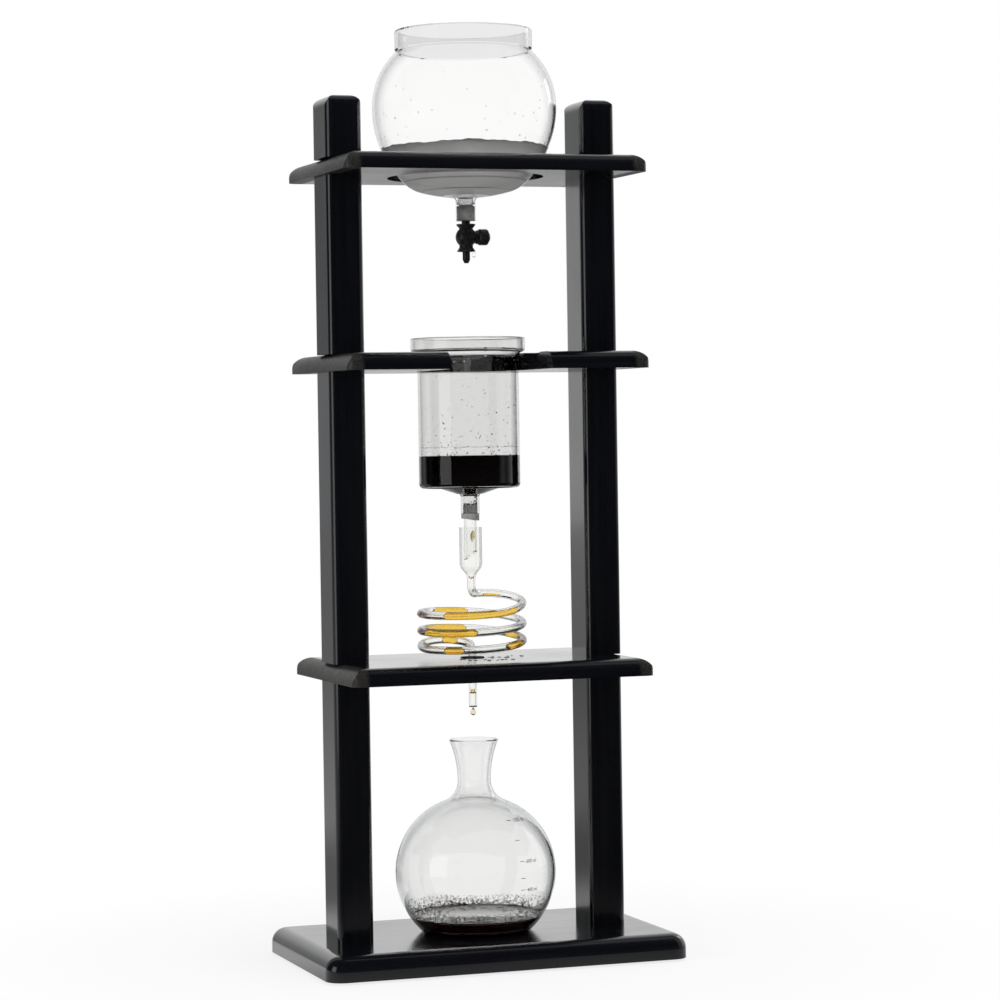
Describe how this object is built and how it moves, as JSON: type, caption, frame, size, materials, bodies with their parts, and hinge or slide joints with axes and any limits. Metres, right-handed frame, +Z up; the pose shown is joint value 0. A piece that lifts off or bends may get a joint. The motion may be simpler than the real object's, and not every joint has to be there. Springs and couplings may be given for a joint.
{
  "type": "cold drip coffee tower",
  "caption": "Black wooden tower stand with a glass water globe and drip valve, a slotted-in coffee column, a coiled glass tube and a round flask.",
  "frame": {"origin": "on the floor, under the middle of the base board and on the common axis of the vessels", "axes": "+X along the boards to the valve knob's side, +Y to the back, +Z up along the vessels' axis"},
  "size_m": [0.304, 0.186, 0.759],
  "materials": {
    "lacquered_wood": "black stained, semi-gloss lacquer",
    "clear_glass": "clear borosilicate",
    "silicone": "translucent silicone",
    "black_rubber": "matt",
    "black_plastic": "polished moulding",
    "steel": "zinc-plated or stainless",
    "brass": "turned"
  },
  "bodies": {
    "frame": {"base_board": "lacquered_wood", "foot_pads": "black_rubber", "base_bolts": "steel", "post_inserts": "brass", "shelf_studs": "steel", "lower_shelf": "lacquered_wood", "grommet": "black_rubber", "middle_shelf": "lacquered_wood", "upper_shelf": "lacquered_wood", "left_post_lower": "lacquered_wood", "left_post_middle": "lacquered_wood", "left_post_upper": "lacquered_wood", "left_post_cap": "lacquered_wood", "right_post_lower": "lacquered_wood", "right_post_middle": "lacquered_wood", "right_post_upper": "lacquered_wood", "right_post_cap": "lacquered_wood"},
    "globe": {"globe_glass": "clear_glass", "valve_stopper": "silicone", "valve_body": "black_plastic"},
    "knob": {"valve_plug": "black_plastic", "plug_rings": "black_rubber", "valve_knob": "black_plastic"},
    "column": {"column_glass": "clear_glass", "filter_gasket": "silicone", "filter_disc": "steel", "tube_stopper": "silicone", "drip_tube": "clear_glass"},
    "coil": {"coil_glass": "clear_glass"},
    "flask": {"flask_glass": "clear_glass"}
  },
  "joints": [
    {"name": "globe_lift", "type": "slide", "parent": "frame", "child": "globe", "axis": [0, 0, 1], "range_m": [0, 0.1]},
    {"name": "valve_turn", "type": "hinge", "parent": "globe", "child": "knob", "pos_m": [0, 0, 0.5904], "axis": [1, 0, 0], "range_deg": [0, 90]},
    {"name": "column_lift", "type": "slide", "parent": "frame", "child": "column", "axis": [0, 0, 1], "range_m": [0, 0.05]},
    {"name": "coil_lift", "type": "slide", "parent": "frame", "child": "coil", "axis": [0, 0, 1], "range_m": [0, 0.006]},
    {"name": "flask_slide", "type": "slide", "parent": "frame", "child": "flask", "axis": [0, -1, 0], "range_m": [0, 0.16]}
  ]
}
